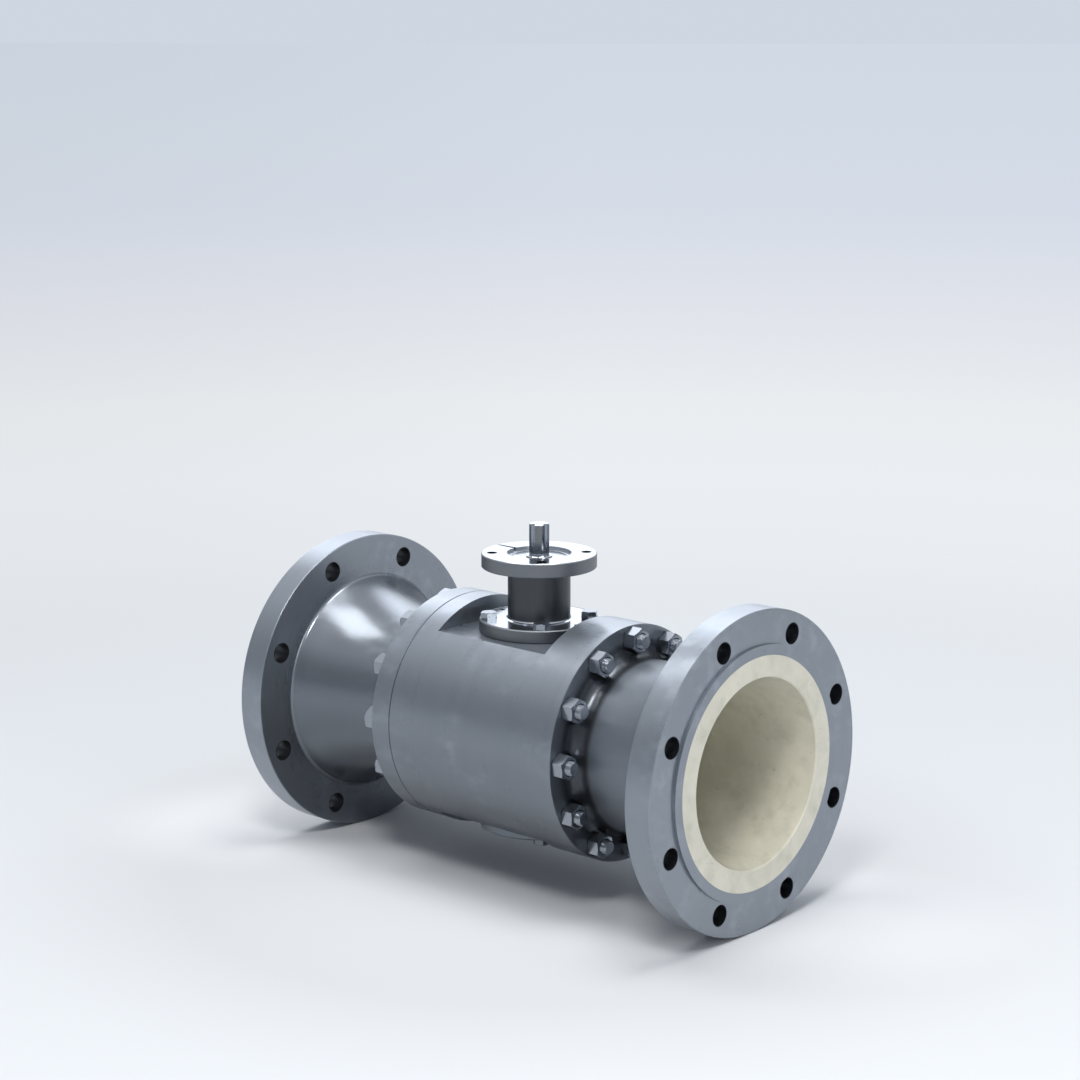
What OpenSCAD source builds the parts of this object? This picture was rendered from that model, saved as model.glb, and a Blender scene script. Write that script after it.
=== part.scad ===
// Control ball valve with a lined bore, flanged ends and a quarter-turn stem.
// Origin on the floor under the stem, +X towards the outlet, +Z up the stem.

/* [Pipe ends] */
// Distance between the two raised pipe faces
face_to_face = 600; // [590:2:620]
// Outside diameter of a pipe flange
flange_d = 340; // [334:2:350]
// Thickness of a pipe flange without its raised face
flange_t = 32; // [26:1:36]
// Diameter of the raised face
raised_d = 268; // [262:1:270]
// Height of the raised face
raised_h = 3; // [2:0.5:4]
// Circle of the pipe bolt holes
flange_pcd = 295; // [292:1:300]
// Diameter of a pipe bolt hole
flange_hole_d = 22; // [18:1:24]
// Number of pipe bolt holes
flange_hole_n = 8; // [4:4:12]

/* [Ceramic lining] */
// Bore of the lining at the pipe face
mouth_d = 200; // [190:2:206]
// Outside diameter of the lining ring at the pipe face
liner_ring_d = 246; // [240:1:252]
// Length of the lining ring
liner_ring_t = 12; // [8:1:16]
// Wall of the lining funnel
liner_t = 8; // [6:0.5:10]

/* [Barrel] */
// Bore of the ball
ball_bore_d = 100; // [90:1:102]
// Length of the barrel between the two end collars
barrel_len = 208; // [200:2:216]
// Thickness of an end collar
collar_t = 26; // [22:1:30]
// Steel between the ball chamber and the pocket floors
pocket_wall = 14; // [12:1:16]
// Length of the flat pockets along the pipe
pocket_len = 155; // [148:1:158]
// Outside diameter of a neck next to its collar
waist_d = 186; // [182:1:192]
// Radius of the long flare between waist and flange
flare_r = 235; // [225:1:260]

/* [Tie studs] */
// Number of studs at each end
stud_n = 12; // [8:2:12]
// Thread diameter of a stud
stud_d = 16; // [14:1:18]
// Width across the flats of a stud nut
nut_af = 24; // [22:1:26]
// Height of a stud nut
nut_h = 14.8; // [13:0.1:16]

/* [Bonnet and cover] */
// Diameter of the lower bonnet flange and of the bottom cover
bonnet_d = 130; // [126:1:136]
// Thickness of the lower bonnet flange and of the bottom cover
bonnet_t = 14; // [12:1:16]
// Outside diameter of the bonnet tube
tube_d = 68; // [64:1:70]
// Height of the bonnet tube between its flanges
tube_h = 56.5; // [54:0.5:64]
// Diameter of the actuator flange
top_flange_d = 125; // [122:1:130]
// Thickness of the actuator flange
top_flange_t = 15.5; // [14:0.5:18]
// Circle of the actuator bolt holes
top_pcd = 102; // [100:1:104]
// Diameter of an actuator bolt hole
top_hole_d = 11; // [9:0.5:12]
// Circle of the four bonnet bolts
bonnet_pcd = 109; // [106:1:111]

/* [Stem] */
// Diameter of the stem end that takes the actuator
stem_top_d = 22; // [20:1:24]
// Diameter of the stem in its bearing and packing
stem_d = 30; // [28:1:32]
// Height of the stem end over the actuator flange
stem_free = 32; // [28:1:36]
// Width of a keyway
key_w = 6; // [5:0.5:7]
// Depth of a keyway
key_depth = 3.5; // [3:0.5:4]

/* [Hidden] */
fine = 120;
medium = 72;
small = 36;

// Clearances shared by mating pieces
run_gap = 0.05;
seat_gap = 0.3;
fit_gap = 0.1;

// Heights and lengths from the ball centre
axis_h = flange_d / 2;
half_len = face_to_face / 2;
flange_out = half_len - raised_h;
flange_in = flange_out - flange_t;
barrel_half = barrel_len / 2;
collar_out = barrel_half + collar_t;

// Ball, seats and chamber
bore_r = ball_bore_d / 2;
ball_wall = 30;
ball_r = bore_r + ball_wall;
chamber_gap = 8;
chamber_r = ball_r + chamber_gap;
seat_w = 20;
seat_r = bore_r + seat_w;
seat_front = ball_r * 0.3;
seat_back = ball_r - 4;
carrier_len = 34;
carrier_back = seat_back + 10;
carrier_front = carrier_back - carrier_len;
carrier_mid = (carrier_front + carrier_back) / 2;
spring_h = 6;
spring_t = 2.5;
spigot_in = carrier_back + spring_h;
tip_x = seat_back + 0.2;
tip_r = bore_r + liner_t;
seal_r = 1.8;
seal_ring_r = chamber_r - seal_r - 0.2;
seal_groove_r = seal_ring_r - seal_r - 0.1;

// Studs
stud_wall = 25;
stud_pcr = chamber_r + stud_wall;
stud_r = stud_d / 2;
rim_w = 15;
barrel_r = stud_pcr + rim_w;
stud_depth = 20;
stud_over = 6;
stud_room = 0.75;
stud_chamfer = 1.5;
spot_r = 17;
gasket_w = 10;
gasket_r = chamber_r + gasket_w;
gasket_t = 3;

// Neck of an end piece: fillet, waist, long flare and root at the flange
waist_r = waist_d / 2;
waist_fillet = 16;
waist_flat = 4;
root_r = 5;
arc_gap = 0.02;
fillet_r = waist_r + waist_fillet;
fillet_x = collar_out + waist_fillet;
flare_in = fillet_x + waist_flat;
flare_angle = asin((flange_in - flare_in - root_r) / (flare_r - root_r));
flare_out = flare_in + flare_r * sin(flare_angle);
neck_r = waist_r + flare_r * (1 - cos(flare_angle));
root_u = neck_r + root_r * cos(flare_angle);

// Bonnet, cover and stem levels
floor_z = chamber_r + pocket_wall;
lower_top = floor_z + bonnet_t;
tube_top = lower_top + tube_h;
flange_top = tube_top + top_flange_t;
recess_r = 35;
recess_depth = 4;
recess_z = flange_top - recess_depth;
slot_w = 4.5;
stem_top = flange_top + stem_free;
spigot_r = 30;
washer_t = 4;
spigot_z = chamber_r + washer_t;
pack_r = 22;
lower_bush_h = 22;
bush_top = spigot_z + lower_bush_h;
pack_h = 7;
pack_n = 4;
chevron_h = 2.5;
pack_top = bush_top + pack_n * pack_h;
gland_h = 10;
gland_top = pack_top + gland_h;
disc_h = 3.5;
disc_n = 4;
chamber_top = gland_top + disc_n * disc_h;
top_bush_r = 14.5;
top_bush_over = 1.5;
stem_r = stem_d / 2;
stem_top_r = stem_top_d / 2;
stem_neck_r = stem_top_r + 1;
neck_top = recess_z + top_bush_over + 0.3;
stem_collar_r = 20;
stem_collar_h = 7;
stem_step = chamber_top - 1;
collar_z = spigot_z - washer_t - 0.2;
tang_w = 14;
tang_l = 38;
tang_z = bore_r + 12;
key_z = flange_top + 6.6;
bolt_r = 5;
bolt_af = 16;
bolt_head_h = 6.8;
bolt_depth = 16;
bolt_room = 0.5;
bonnet_turn = 18;
bottom_turn = 7;
face_gasket_r = 42;
face_gasket_t = 2;
jack_x = 54;
jack_r = 3;

// Trunnion
pin_r = 12;
pin_reach = 18;
pin_top = ball_r - pin_reach;
pin_end = floor_z + 8;
bush_r = 16;
ball_flat = ball_r - 2;
cover_spigot_z = chamber_r - 5;

STEEL = "#8f959d";
BRIGHT = "#b9bdc4";
CERAMIC = "#cfcbb8";
SEAL = "#2b2d30";
BRONZE = "#b08a4a";

// Inner radius of the lining funnel at a distance from the ball centre
function funnel_r(x) =
    bore_r + (mouth_d / 2 - bore_r) * (x - tip_x) / (half_len - tip_x);

// Angle at which a stud nut came to a stop
function nut_turn(i) = 30 * (i % 2) + (i * 17) % 13 - 6;

// Everything is drawn from the ball centre and lifted to its height
module at_axis() {
    translate([0, 0, axis_h])
        children();
}

// The inlet side is the outlet side seen in a mirror
module inlet_side() {
    mirror([1, 0, 0])
        children();
}

// Ring turned about the pipe axis from points [radius, x]
module turned_x(points, steps = fine) {
    rotate([0, 90, 0])
        rotate_extrude($fn = steps)
            polygon(points);
}

// Ring turned about the stem axis from points [radius, z]
module turned_z(points, steps = medium) {
    rotate_extrude($fn = steps)
        polygon(points);
}

// Plain ring about the pipe axis
module ring_x(inner, outer, x0, x1) {
    turned_x([[inner, x0], [outer, x0], [outer, x1], [inner, x1]]);
}

// Plain ring about the stem axis
module ring_z(inner, outer, z0, z1) {
    turned_z([[inner, z0], [outer, z0], [outer, z1], [inner, z1]]);
}

// Copies round the pipe axis at the stud places
module at_studs() {
    for (i = [0 : stud_n - 1])
        rotate([i * 360 / stud_n, 0, 0])
            translate([0, 0, stud_pcr])
                rotate([0, 90, 0])
                    children();
}

// Copies at the four bonnet bolt places
module at_bonnet_bolts() {
    for (i = [0 : 3])
        rotate([0, 0, 45 + 90 * i])
            translate([bonnet_pcd / 2, 0, 0])
                children();
}

// Hexagon with chamfered corners on one face, standing on z = 0
module hex_block(af, height, turn = 0) {
    corner = af / sqrt(3);
    flat_r = af / 2 - 0.4;
    outside = corner + 1;
    intersection() {
        rotate([0, 0, turn])
            cylinder(r = corner, h = height, $fn = 6);
        turned_z([[0, -1], [outside, -1], [outside, height - (outside - flat_r) * tan(30)],
                  [flat_r, height], [0, height]], small);
    }
}

module main_body() {
    color(STEEL) at_axis() difference() {
        turned_x([[chamber_r, -barrel_half], [barrel_r - 1, -barrel_half],
                  [barrel_r, 1 - barrel_half], [barrel_r, barrel_half],
                  [chamber_r, barrel_half]]);
        for (side = [0, 1]) {
            mirror([side, 0, 0])
                ring_x(chamber_r - 1, gasket_r, barrel_half - gasket_t, barrel_half + 1);
            mirror([side, 0, 0])
                at_studs()
                    translate([0, 0, barrel_half - stud_depth - 1])
                        cylinder(r = stud_r + fit_gap, h = stud_depth + 2, $fn = small);
            mirror([0, 0, side])
                translate([-pocket_len / 2, -barrel_r - 1, floor_z])
                    cube([pocket_len, 2 * barrel_r + 2, barrel_r]);
            mirror([0, 0, side])
                cylinder(r = spigot_r + fit_gap, h = barrel_r, $fn = medium);
            mirror([0, 0, side])
                ring_z(spigot_r - 1, face_gasket_r, floor_z - face_gasket_t, floor_z + 1);
            mirror([0, 0, side])
                at_bonnet_bolts()
                    translate([0, 0, floor_z - bolt_depth - 2])
                        cylinder(r = bolt_r + fit_gap, h = bolt_depth + 3, $fn = small);
        }
    }
}

// Half section of an end piece as [radius, x], still without its rounded neck
module end_outline(edge) {
    polygon(concat(
        [[funnel_r(spigot_in) + liner_t + fit_gap, spigot_in],
         [chamber_r - fit_gap, spigot_in],
         [chamber_r - fit_gap, barrel_half]],
        edge > 0 ? [[barrel_r - edge, barrel_half], [barrel_r, barrel_half + edge]] : [[barrel_r, barrel_half]],
        [[barrel_r, collar_out],
         [fillet_r, collar_out],
         [fillet_r, fillet_x],
         [waist_r, fillet_x],
         [waist_r, flare_in],
         [neck_r, flare_in],
         [neck_r, flare_out],
         [root_u, flare_out],
         [root_u, flange_in],
         [flange_d / 2 - 1, flange_in],
         [flange_d / 2, flange_in + 1],
         [flange_d / 2, flange_out - 1],
         [flange_d / 2 - 1, flange_out],
         [raised_d / 2, flange_out],
         [raised_d / 2, half_len],
         [liner_ring_d / 2 + fit_gap, half_len],
         [liner_ring_d / 2 + fit_gap, half_len - liner_ring_t],
         [funnel_r(half_len - liner_ring_t) + liner_t + fit_gap, half_len - liner_ring_t]]));
}

// The same section with the fillet, the long flare and the root cut as true arcs
module end_section(edge) {
    difference() {
        end_outline(edge);
        translate([fillet_r, fillet_x])
            circle(r = waist_fillet - arc_gap, $fn = medium);
        intersection() {
            translate([waist_r + flare_r, flare_in])
                circle(r = flare_r - arc_gap, $fn = 3 * fine);
            translate([waist_r - 1, flare_in - 1])
                square([neck_r - waist_r + 2, flare_out - flare_in + 1]);
        }
        translate([root_u, flange_in - root_r])
            circle(r = root_r - arc_gap, $fn = medium);
    }
}

// Collar, neck and flange with the seat of the lining cut out
module end_piece(edge) {
    difference() {
        rotate([0, 90, 0])
            rotate_extrude($fn = fine)
                end_section(edge);
        at_studs()
            translate([0, 0, barrel_half - 1])
                cylinder(r = stud_r + stud_room, h = collar_t + 2, $fn = small);
        at_studs()
            translate([0, 0, collar_out])
                cylinder(r = spot_r, h = waist_fillet + 1, $fn = small);
        for (i = [0 : flange_hole_n - 1])
            rotate([(i + 0.5) * 360 / flange_hole_n, 0, 0])
                translate([flange_in - 1, 0, flange_pcd / 2])
                    rotate([0, 90, 0])
                        cylinder(d = flange_hole_d, h = flange_t + raised_h + 2, $fn = medium);
    }
}

module outlet_end() {
    color(STEEL) at_axis()
        end_piece(0);
}

module inlet_end() {
    color(STEEL) at_axis() inlet_side()
        end_piece(1);
}

// Funnel with its ring at the pipe face
module liner() {
    turned_x([[bore_r, tip_x], [tip_r, tip_x],
              [funnel_r(half_len - liner_ring_t) + liner_t, half_len - liner_ring_t],
              [liner_ring_d / 2, half_len - liner_ring_t],
              [liner_ring_d / 2, half_len],
              [mouth_d / 2 + 1.5, half_len],
              [mouth_d / 2, half_len - 1.5]]);
}

module outlet_liner() {
    color(CERAMIC) at_axis()
        liner();
}

module inlet_liner() {
    color(CERAMIC) at_axis() inlet_side()
        liner();
}

module body_liner() {
    color(CERAMIC) at_axis() difference() {
        ring_x(ball_r + 2, chamber_r - fit_gap, 0.2 - carrier_front, carrier_front - 0.2);
        cylinder(r = stem_collar_r + 1.5, h = chamber_r + 1, $fn = medium);
        translate([0, 0, -chamber_r - 1])
            cylinder(r = spigot_r + 1, h = chamber_r, $fn = medium);
    }
}

// Seat ring ground to the ball on one side
module seat() {
    rotate([0, 90, 0])
        rotate_extrude($fn = fine)
            difference() {
                translate([bore_r, seat_front])
                    square([seat_w, seat_back - seat_front]);
                circle(r = ball_r + seat_gap, $fn = 240);
            }
}

module outlet_seat() {
    color(CERAMIC) at_axis()
        seat();
}

module inlet_seat() {
    color(CERAMIC) at_axis() inlet_side()
        seat();
}

// Carrier that presses the seat ring and holds its seal
module carrier() {
    outer = chamber_r - 0.2;
    groove_half = seal_r + 0.7;
    turned_x([[seat_r + fit_gap, carrier_front], [outer - 1, carrier_front],
              [outer, carrier_front + 1], [outer, carrier_mid - groove_half],
              [seal_groove_r, carrier_mid - groove_half], [seal_groove_r, carrier_mid + groove_half],
              [outer, carrier_mid + groove_half], [outer, carrier_back],
              [funnel_r(carrier_back) + liner_t + 1, carrier_back],
              [funnel_r(seat_back) + liner_t + 1, seat_back],
              [seat_r + fit_gap, seat_back]]);
}

module outlet_carrier() {
    color(BRIGHT) at_axis()
        carrier();
}

module inlet_carrier() {
    color(BRIGHT) at_axis() inlet_side()
        carrier();
}

module seat_seals() {
    color(SEAL) at_axis()
        for (side = [0, 1])
            mirror([side, 0, 0])
                rotate([0, 90, 0])
                    translate([0, 0, carrier_mid])
                        rotate_extrude($fn = fine)
                            translate([seal_ring_r, 0])
                                circle(r = seal_r, $fn = small);
}

module seat_springs() {
    inner = funnel_r(spigot_in) + liner_t + 2;
    outer = chamber_r - 4;
    color(BRIGHT) at_axis()
        for (side = [0, 1])
            mirror([side, 0, 0])
                turned_x([[inner, spigot_in - spring_t], [outer, carrier_back],
                          [outer, carrier_back + spring_t], [inner, spigot_in]]);
}

module body_gaskets() {
    color(SEAL) at_axis()
        for (side = [0, 1])
            mirror([side, 0, 0])
                ring_x(chamber_r + 0.5, gasket_r - fit_gap, barrel_half - gasket_t, barrel_half);
}

// Chamfered threaded rods of one end
module studs() {
    end_x = collar_out + nut_h + stud_over;
    start_x = barrel_half - stud_depth;
    at_studs()
        turned_z([[0, start_x], [stud_r - stud_chamfer, start_x], [stud_r, start_x + stud_chamfer],
                  [stud_r, end_x - stud_chamfer], [stud_r - stud_chamfer, end_x], [0, end_x]], small);
}

module outlet_studs() {
    color(BRIGHT) at_axis()
        studs();
}

module inlet_studs() {
    color(BRIGHT) at_axis() inlet_side()
        studs();
}

// Nuts of one end, each stopped at its own angle
module nuts() {
    for (i = [0 : stud_n - 1])
        rotate([i * 360 / stud_n, 0, 0])
            translate([collar_out, 0, stud_pcr])
                rotate([0, 90, 0])
                    difference() {
                        hex_block(nut_af, nut_h, nut_turn(i));
                        translate([0, 0, -1])
                            cylinder(r = stud_r + fit_gap, h = nut_h + 2, $fn = small);
                    }
}

module outlet_nuts() {
    color(BRIGHT) at_axis()
        nuts();
}

module inlet_nuts() {
    color(BRIGHT) at_axis() inlet_side()
        nuts();
}

module bonnet() {
    color(BRIGHT) at_axis() difference() {
        turned_z([[pack_r, spigot_z], [spigot_r, spigot_z], [spigot_r, floor_z],
                  [bonnet_d / 2 - 1, floor_z], [bonnet_d / 2, floor_z + 1],
                  [bonnet_d / 2, lower_top - 1], [bonnet_d / 2 - 1, lower_top],
                  [tube_d / 2 + 2.5, lower_top], [tube_d / 2 + 1, lower_top + 0.6],
                  [tube_d / 2, lower_top + 2.5], [tube_d / 2, tube_top - 1.5],
                  [tube_d / 2 + 1.5, tube_top], [top_flange_d / 2 - 1, tube_top],
                  [top_flange_d / 2, tube_top + 1], [top_flange_d / 2, flange_top - 1],
                  [top_flange_d / 2 - 1, flange_top], [recess_r, flange_top],
                  [recess_r, recess_z], [top_bush_r, recess_z],
                  [top_bush_r, chamber_top], [pack_r, chamber_top]], fine);
        translate([-top_flange_d / 2 - 1, -slot_w / 2, recess_z])
            cube([top_flange_d / 2 - recess_r + 3, slot_w, recess_depth + 1]);
        at_bonnet_bolts()
            translate([0, 0, floor_z - 1])
                cylinder(r = bolt_r + bolt_room, h = bonnet_t + 2, $fn = small);
        for (side = [-1, 1])
            translate([side * jack_x, 0, floor_z - 1])
                cylinder(r = jack_r, h = bonnet_t + 2, $fn = small);
        for (i = [0 : 3])
            rotate([0, 0, 45 + 90 * i])
                translate([top_pcd / 2, 0, tube_top - 1])
                    cylinder(d = top_hole_d, h = top_flange_t + 2, $fn = small);
    }
}

module bonnet_gasket() {
    color(SEAL) at_axis()
        ring_z(spigot_r + 0.5, face_gasket_r - fit_gap, floor_z - face_gasket_t, floor_z);
}

// Bolt with its head on top, threaded end down
module bonnet_bolt(turn) {
    translate([0, 0, floor_z - bolt_depth])
        cylinder(r = bolt_r, h = bolt_depth + bonnet_t, $fn = small);
    translate([0, 0, lower_top])
        hex_block(bolt_af, bolt_head_h, turn);
}

module bonnet_bolts() {
    color(BRIGHT) at_axis()
        at_bonnet_bolts()
            bonnet_bolt(bonnet_turn);
}

module bottom_cover() {
    color(BRIGHT) at_axis() mirror([0, 0, 1]) difference() {
        turned_z([[0, cover_spigot_z], [spigot_r, cover_spigot_z], [spigot_r, floor_z],
                  [bonnet_d / 2 - 1, floor_z], [bonnet_d / 2, floor_z + 1],
                  [bonnet_d / 2, lower_top - 1.5], [bonnet_d / 2 - 1.5, lower_top],
                  [0, lower_top]], fine);
        translate([0, 0, cover_spigot_z - 1])
            cylinder(r = pin_r + fit_gap, h = pin_end - cover_spigot_z + 1.1, $fn = medium);
        at_bonnet_bolts()
            translate([0, 0, floor_z - 1])
                cylinder(r = bolt_r + bolt_room, h = bonnet_t + 2, $fn = small);
    }
}

module bottom_gasket() {
    color(SEAL) at_axis() mirror([0, 0, 1])
        ring_z(spigot_r + 0.5, face_gasket_r - fit_gap, floor_z - face_gasket_t, floor_z);
}

module bottom_bolts() {
    color(BRIGHT) at_axis() mirror([0, 0, 1])
        at_bonnet_bolts()
            bonnet_bolt(bottom_turn);
}

module trunnion_pin() {
    color(BRIGHT) at_axis() mirror([0, 0, 1])
        turned_z([[0, pin_top], [pin_r - 1.5, pin_top], [pin_r, pin_top + 1.5],
                  [pin_r, pin_end], [0, pin_end]]);
}

module bottom_washer() {
    color(BRONZE) at_axis() mirror([0, 0, 1])
        ring_z(pin_r + 0.3, bush_r + 1.5, ball_flat + seat_gap, cover_spigot_z);
}

module lower_bush() {
    color(BRONZE) at_axis()
        ring_z(stem_r + run_gap, pack_r - 0.02, spigot_z, bush_top);
}

// One chevron ring from height z
module chevron(z, height) {
    inner = stem_r + seat_gap;
    outer = pack_r - fit_gap;
    turned_z([[inner, z], [(inner + outer) / 2, z + chevron_h], [outer, z],
              [outer, z + height], [(inner + outer) / 2, z + height + chevron_h],
              [inner, z + height]]);
}

module packing_rings() {
    color(SEAL) at_axis()
        for (i = [0 : pack_n - 1])
            chevron(bush_top + i * pack_h, pack_h - 0.05);
}

module gland_ring() {
    inner = stem_r + seat_gap;
    outer = pack_r - fit_gap;
    color(BRIGHT) at_axis()
        turned_z([[inner, pack_top], [(inner + outer) / 2, pack_top + chevron_h], [outer, pack_top],
                  [outer, gland_top], [inner, gland_top]]);
}

module packing_springs() {
    inner = stem_r + 0.5;
    outer = pack_r - 0.3;
    color(BRIGHT) at_axis()
        for (i = [0 : disc_n - 1])
            translate([0, 0, gland_top + (i + 0.5) * disc_h])
                mirror([0, 0, i % 2])
                    turned_z([[inner, -disc_h / 2], [outer, 0.25], [outer, disc_h / 2], [inner, -0.25]]);
}

module top_bush() {
    top = recess_z + top_bush_over;
    color(BRONZE) at_axis()
        turned_z([[stem_neck_r + run_gap, chamber_top + 0.5],
                  [top_bush_r - 0.02, chamber_top + 0.5],
                  [top_bush_r - 0.02, top - 0.5], [top_bush_r - 0.5, top],
                  [stem_neck_r + run_gap, top]]);
}

module thrust_washer() {
    color(BRONZE) at_axis()
        ring_z(stem_r + seat_gap, stem_collar_r + 1, spigot_z - washer_t, spigot_z);
}

module stem() {
    color(BRIGHT) at_axis() difference() {
        union() {
            turned_z([[0, collar_z - stem_collar_h], [stem_collar_r, collar_z - stem_collar_h],
                      [stem_collar_r, collar_z], [stem_r, collar_z],
                      [stem_r, stem_step - 1], [stem_neck_r, stem_step],
                      [stem_neck_r, neck_top], [stem_top_r, neck_top],
                      [stem_top_r, stem_top - 1], [stem_top_r - 1, stem_top],
                      [0, stem_top]]);
            translate([-tang_w / 2 + fit_gap, -tang_l / 2, tang_z + 0.5])
                cube([tang_w - 2 * fit_gap, tang_l, collar_z - stem_collar_h + 0.5 - tang_z]);
        }
        translate([stem_top_r - key_depth, -key_w / 2, key_z])
            cube([stem_top_r, key_w, stem_free]);
        translate([-key_w / 2, -2 * stem_top_r + key_depth, key_z])
            cube([key_w, stem_top_r, stem_free]);
    }
}

module ball() {
    color(CERAMIC) at_axis() difference() {
        sphere(r = ball_r, $fn = fine);
        rotate([0, 90, 0])
            cylinder(r = bore_r, h = 2 * ball_r + 2, center = true, $fn = fine);
        translate([-tang_w / 2, -tang_l / 2 - 1, tang_z])
            cube([tang_w, tang_l + 2, ball_r]);
        translate([0, 0, -ball_flat - ball_r])
            cylinder(r = ball_r, h = ball_r, $fn = medium);
        translate([0, 0, -ball_r])
            cylinder(r = bush_r + run_gap, h = ball_r - pin_top + 2, $fn = medium);
    }
}

module trunnion_bush() {
    color(BRONZE) at_axis() mirror([0, 0, 1])
        ring_z(pin_r + run_gap, bush_r, pin_top - 1, ball_flat);
}

main_body();
outlet_end();
inlet_end();
outlet_liner();
inlet_liner();
body_liner();
outlet_seat();
inlet_seat();
outlet_carrier();
inlet_carrier();
seat_seals();
seat_springs();
body_gaskets();
outlet_studs();
inlet_studs();
outlet_nuts();
inlet_nuts();
bonnet();
bonnet_gasket();
bonnet_bolts();
bottom_cover();
bottom_gasket();
bottom_bolts();
trunnion_pin();
bottom_washer();
lower_bush();
packing_rings();
gland_ring();
packing_springs();
top_bush();
thrust_washer();
stem();
ball();
trunnion_bush();
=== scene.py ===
"""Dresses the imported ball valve: machined steel, ceramic lining, threaded fasteners and a plain studio."""

import logging
import math
from dataclasses import dataclass, field
from enum import Enum
from typing import Callable, ClassVar, Dict, List, Optional, Sequence, Tuple, Union

import bmesh
import bpy
from mathutils import Matrix, Vector


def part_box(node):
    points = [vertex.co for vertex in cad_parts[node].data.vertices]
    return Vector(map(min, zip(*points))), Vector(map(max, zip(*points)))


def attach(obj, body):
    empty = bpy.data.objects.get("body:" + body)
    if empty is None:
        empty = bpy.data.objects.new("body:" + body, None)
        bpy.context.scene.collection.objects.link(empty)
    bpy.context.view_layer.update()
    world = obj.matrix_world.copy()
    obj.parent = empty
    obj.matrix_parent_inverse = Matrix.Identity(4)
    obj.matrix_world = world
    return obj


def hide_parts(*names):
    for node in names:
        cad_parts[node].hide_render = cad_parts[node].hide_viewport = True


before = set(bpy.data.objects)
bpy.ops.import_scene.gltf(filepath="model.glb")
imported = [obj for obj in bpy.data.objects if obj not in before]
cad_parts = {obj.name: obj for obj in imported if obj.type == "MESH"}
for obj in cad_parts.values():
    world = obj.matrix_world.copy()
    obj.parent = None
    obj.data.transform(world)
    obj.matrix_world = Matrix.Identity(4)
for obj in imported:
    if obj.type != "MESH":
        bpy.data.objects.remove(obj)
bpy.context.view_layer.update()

LOG = logging.getLogger("ball_valve")
MM = 0.001
BLACK = (0.0, 0.0, 0.0)
SCATTER_LEAP, SCATTER_STEPS, SCATTER_MIDDLE = 17.0, 13.0, 6.0

Colour = Tuple[float, float, float]
Stops = Sequence[Tuple[float, Colour]]
Ring = List[Tuple[float, float, float]]


class Turning(Enum):
    """The axis that a piece was turned about on the lathe."""

    PIPE = "pipe"
    STEM = "stem"


class Value:
    """A shader socket that takes part in Python arithmetic."""

    def __init__(self, shader: "Shader", socket: bpy.types.NodeSocket) -> None:
        """Keeps the socket and the shader that it belongs to."""
        self.shader = shader
        self.socket = socket

    def __add__(self, other: "Number") -> "Value":
        """Sum of two values."""
        return self.shader.math("ADD", self, other)

    def __radd__(self, other: "Number") -> "Value":
        """Sum with a number on the left."""
        return self.shader.math("ADD", other, self)

    def __sub__(self, other: "Number") -> "Value":
        """Difference of two values."""
        return self.shader.math("SUBTRACT", self, other)

    def __rsub__(self, other: "Number") -> "Value":
        """Difference with a number on the left."""
        return self.shader.math("SUBTRACT", other, self)

    def __mul__(self, other: "Number") -> "Value":
        """Product of two values."""
        return self.shader.math("MULTIPLY", self, other)

    def __rmul__(self, other: "Number") -> "Value":
        """Product with a number on the left."""
        return self.shader.math("MULTIPLY", other, self)

    def __truediv__(self, other: "Number") -> "Value":
        """Quotient of two values."""
        return self.shader.math("DIVIDE", self, other)

    def __rtruediv__(self, other: "Number") -> "Value":
        """Quotient with a number on the left."""
        return self.shader.math("DIVIDE", other, self)

    def __pow__(self, other: "Number") -> "Value":
        """Power of a value."""
        return self.shader.math("POWER", self, other)

    def root(self) -> "Value":
        """Square root of the value."""
        return self.shader.math("SQRT", self)

    def size(self) -> "Value":
        """The value without its sign."""
        return self.shader.math("ABSOLUTE", self)

    def cosine(self) -> "Value":
        """Cosine of an angle."""
        return self.shader.math("COSINE", self)

    def ramp(self, low: float, high: float, to_low: float = 0.0, to_high: float = 1.0) -> "Value":
        """Smoothly maps low..high to to_low..to_high and holds the ends.

        Args:
            low: Value that gives to_low.
            high: Value that gives to_high.
            to_low: Result at and below low.
            to_high: Result at and above high.

        Returns:
            The mapped value.
        """
        return self.shader.node(
            "ShaderNodeMapRange", {"interpolation_type": "SMOOTHSTEP", "clamp": True},
            {"Value": self, "From Min": low, "From Max": high, "To Min": to_low, "To Max": to_high}, "Result")


Number = Union[float, Value]


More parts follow.
